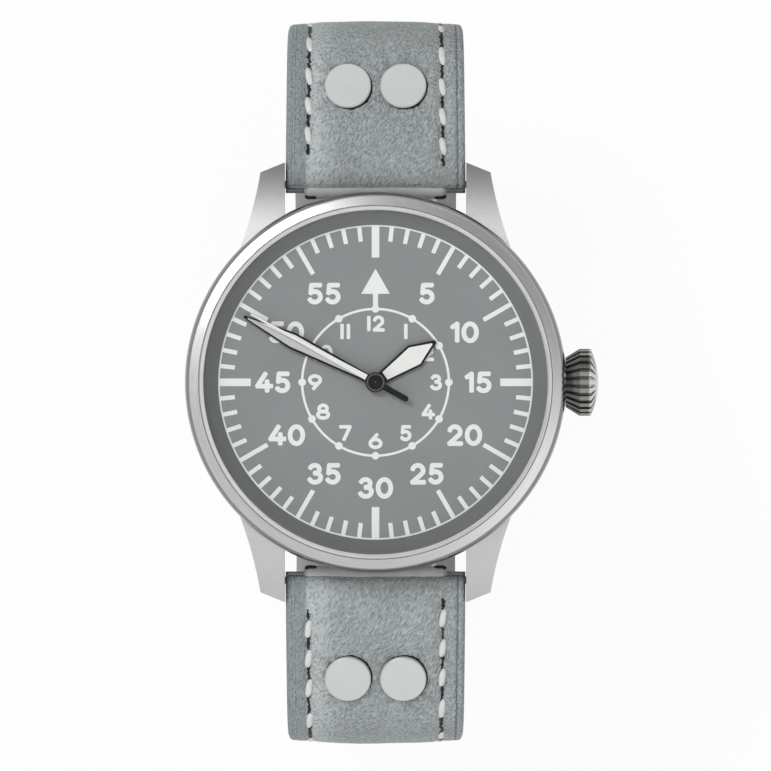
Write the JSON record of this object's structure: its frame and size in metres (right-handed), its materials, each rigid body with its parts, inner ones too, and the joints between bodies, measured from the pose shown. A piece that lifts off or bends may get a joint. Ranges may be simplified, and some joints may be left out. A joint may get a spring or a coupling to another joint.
{
  "type": "wristwatch",
  "caption": "Pilot wristwatch with a round steel case, grey dial, fluted onion crown and an unbuckled riveted leather strap formed to the wrist.",
  "frame": {"origin": "on the hands' axis, on the flat surface that the strap's tail rests on", "axes": "+Z out of the dial, +Y to 12 o'clock, +X along the winding stem to the crown"},
  "size_m": [0.0454, 0.0792, 0.0565],
  "materials": {
    "case_steel": "satin",
    "bezel_steel": "circular brushed",
    "crown_steel": "polished",
    "crystal_glass": "clear, coated",
    "gasket_rubber": "matte",
    "gasket_nylon": "satin",
    "flange_grey": "satin",
    "ring_plastic": "matte",
    "dial_grey": "matte",
    "print_white": "matte",
    "hand_black": "gloss",
    "lume_white": "matte",
    "plate_nickel": "nickel plated",
    "wheel_brass": "polished",
    "pinion_steel": "polished",
    "jewel_red": "gloss",
    "screw_steel": "polished",
    "strap_leather": "grained",
    "lining_leather": "smooth",
    "rivet_steel": "satin",
    "buckle_steel": "satin"
  },
  "bodies": {
    "case": {"case_middle": "case_steel", "bezel": "bezel_steel", "crystal": "crystal_glass", "crystal_gasket": "gasket_nylon", "flange_ring": "flange_grey", "case_back": "case_steel", "case_back_gasket": "gasket_rubber", "movement_ring": "ring_plastic", "crown_tube": "crown_steel", "spring_bars": "screw_steel", "dial": "dial_grey", "dial_markings": "print_white", "mainplate": "plate_nickel", "barrel_bridge": "plate_nickel", "train_bridge": "plate_nickel", "balance_cock": "plate_nickel", "pallet_cock": "plate_nickel", "jewels": "jewel_red", "bridge_screws": "screw_steel", "minute_wheel_post": "pinion_steel", "hairspring": "pinion_steel", "rotor_bearing": "screw_steel"},
    "strap_12": {"strap_12_leather": "strap_leather", "strap_12_lining": "lining_leather", "strap_12_rivets": "rivet_steel", "fixed_keeper": "strap_leather"},
    "strap_6": {"strap_6_leather": "strap_leather", "strap_6_lining": "lining_leather", "strap_6_rivets": "rivet_steel"},
    "buckle": {"buckle_frame": "buckle_steel", "buckle_bar": "buckle_steel"},
    "tongue": {"buckle_tongue": "buckle_steel"},
    "sliding_keeper": {"free_keeper": "strap_leather"},
    "clutch": {"clutch_pinion": "pinion_steel"},
    "crown": {"crown": "crown_steel", "crown_gasket": "gasket_rubber", "winding_stem": "pinion_steel"},
    "winding_pinion": {"winding_pinion": "pinion_steel"},
    "crown_wheel": {"crown_wheel": "pinion_steel"},
    "ratchet": {"ratchet_wheel": "pinion_steel", "barrel_arbor": "pinion_steel"},
    "click": {"click": "pinion_steel"},
    "minute_hand": {"minute_hand": "hand_black", "minute_hand_lume": "lume_white", "cannon_pinion": "pinion_steel"},
    "minute_wheel": {"minute_wheel": "wheel_brass"},
    "hour_hand": {"hour_hand": "hand_black", "hour_hand_lume": "lume_white", "hour_wheel": "wheel_brass"},
    "seconds_hand": {"seconds_hand": "hand_black", "fourth_wheel": "wheel_brass"},
    "third_wheel": {"third_wheel": "wheel_brass"},
    "centre_wheel": {"centre_wheel": "wheel_brass"},
    "barrel": {"barrel": "wheel_brass", "mainspring": "pinion_steel"},
    "escape_wheel": {"escape_wheel": "pinion_steel"},
    "pallet_fork": {"pallet_fork": "pinion_steel"},
    "balance": {"balance_wheel": "wheel_brass"},
    "rotor": {"rotor": "plate_nickel"}
  },
  "joints": [
    {"name": "strap_12_swing", "type": "hinge", "parent": "case", "child": "strap_12", "pos_m": [0, 0.0218, 0.0485], "axis": [1, 0, 0], "range_deg": [0, 15]},
    {"name": "strap_6_swing", "type": "hinge", "parent": "case", "child": "strap_6", "pos_m": [0, -0.0218, 0.0485], "axis": [-1, 0, 0], "range_deg": [0, 45]},
    {"name": "buckle_swing", "type": "hinge", "parent": "strap_12", "child": "buckle", "pos_m": [0, -0.00302, 0.0144], "axis": [1, 0, 0], "range_deg": [-70, 20]},
    {"name": "tongue_swing", "type": "hinge", "parent": "buckle", "child": "tongue", "pos_m": [0, -0.00302, 0.0144], "axis": [1, 0, 0], "range_deg": [0, 65]},
    {"name": "keeper_slide", "type": "slide", "parent": "strap_12", "child": "sliding_keeper", "axis": [0, 1, 0], "range_m": [0, 0.0032]},
    {"name": "crown_turn", "type": "hinge", "parent": "case", "child": "clutch", "pos_m": [0.0072, 0, 0.0504], "axis": [1, 0, 0], "continuous": true},
    {"name": "crown_pull", "type": "slide", "parent": "clutch", "child": "crown", "axis": [1, 0, 0], "range_m": [0, 0.0015]},
    {"name": "winding_pinion_turn", "type": "hinge", "parent": "case", "child": "winding_pinion", "pos_m": [0.0082, 0, 0.0504], "axis": [1, 0, 0], "continuous": true},
    {"name": "crown_wheel_turn", "type": "hinge", "parent": "case", "child": "crown_wheel", "pos_m": [0.0076, 0.0019, 0.0501], "axis": [0, 0, 1], "continuous": true},
    {"name": "ratchet_turn", "type": "hinge", "parent": "case", "child": "ratchet", "pos_m": [0.0033, 0.00572, 0.0501], "axis": [0, 0, 1], "continuous": true},
    {"name": "click_swing", "type": "hinge", "parent": "case", "child": "click", "pos_m": [-0.00017, 0.00863, 0.0501], "axis": [0, 0, 1], "range_deg": [0, 8]},
    {"name": "minute_hand_turn", "type": "hinge", "parent": "case", "child": "minute_hand", "pos_m": [0, 0, 0.0501], "axis": [0, 0, 1], "continuous": true},
    {"name": "minute_wheel_turn", "type": "hinge", "parent": "case", "child": "minute_wheel", "pos_m": [0.0012, -0.00208, 0.0501], "axis": [0, 0, 1], "continuous": true},
    {"name": "hour_hand_turn", "type": "hinge", "parent": "case", "child": "hour_hand", "pos_m": [0, 0, 0.0501], "axis": [0, 0, 1], "continuous": true},
    {"name": "seconds_hand_turn", "type": "hinge", "parent": "case", "child": "seconds_hand", "pos_m": [0, 0, 0.0501], "axis": [0, 0, 1], "continuous": true},
    {"name": "third_wheel_turn", "type": "hinge", "parent": "case", "child": "third_wheel", "pos_m": [-0.00498, 0.00044, 0.0501], "axis": [0, 0, 1], "continuous": true},
    {"name": "centre_wheel_turn", "type": "hinge", "parent": "case", "child": "centre_wheel", "pos_m": [0, 0, 0.0501], "axis": [0, 0, 1], "continuous": true},
    {"name": "barrel_turn", "type": "hinge", "parent": "case", "child": "barrel", "pos_m": [0.0033, 0.00572, 0.0501], "axis": [0, 0, 1], "continuous": true},
    {"name": "escape_wheel_turn", "type": "hinge", "parent": "case", "child": "escape_wheel", "pos_m": [-0.00083, -0.00473, 0.0501], "axis": [0, 0, 1], "continuous": true},
    {"name": "pallet_rock", "type": "hinge", "parent": "case", "child": "pallet_fork", "pos_m": [0.00127, -0.00605, 0.0501], "axis": [0, 0, 1], "range_deg": [-5, 5]},
    {"name": "balance_swing", "type": "hinge", "parent": "case", "child": "balance", "pos_m": [0.00347, -0.00743, 0.0501], "axis": [0, 0, 1], "range_deg": [-150, 150]},
    {"name": "rotor_turn", "type": "hinge", "parent": "case", "child": "rotor", "pos_m": [0, 0, 0.0501], "axis": [0, 0, 1], "continuous": true}
  ],
  "couplings": [
    {"joint": "winding_pinion_turn", "follows": "crown_turn", "ratio": 1},
    {"joint": "crown_wheel_turn", "follows": "crown_turn", "ratio": 0.5},
    {"joint": "ratchet_turn", "follows": "crown_turn", "ratio": -0.375},
    {"joint": "minute_wheel_turn", "follows": "minute_hand_turn", "ratio": -0.33333},
    {"joint": "hour_hand_turn", "follows": "minute_hand_turn", "ratio": 0.083333},
    {"joint": "third_wheel_turn", "follows": "seconds_hand_turn", "ratio": -0.13333},
    {"joint": "centre_wheel_turn", "follows": "seconds_hand_turn", "ratio": 0.016667},
    {"joint": "barrel_turn", "follows": "seconds_hand_turn", "ratio": -0.0027778},
    {"joint": "escape_wheel_turn", "follows": "seconds_hand_turn", "ratio": -10}
  ]
}
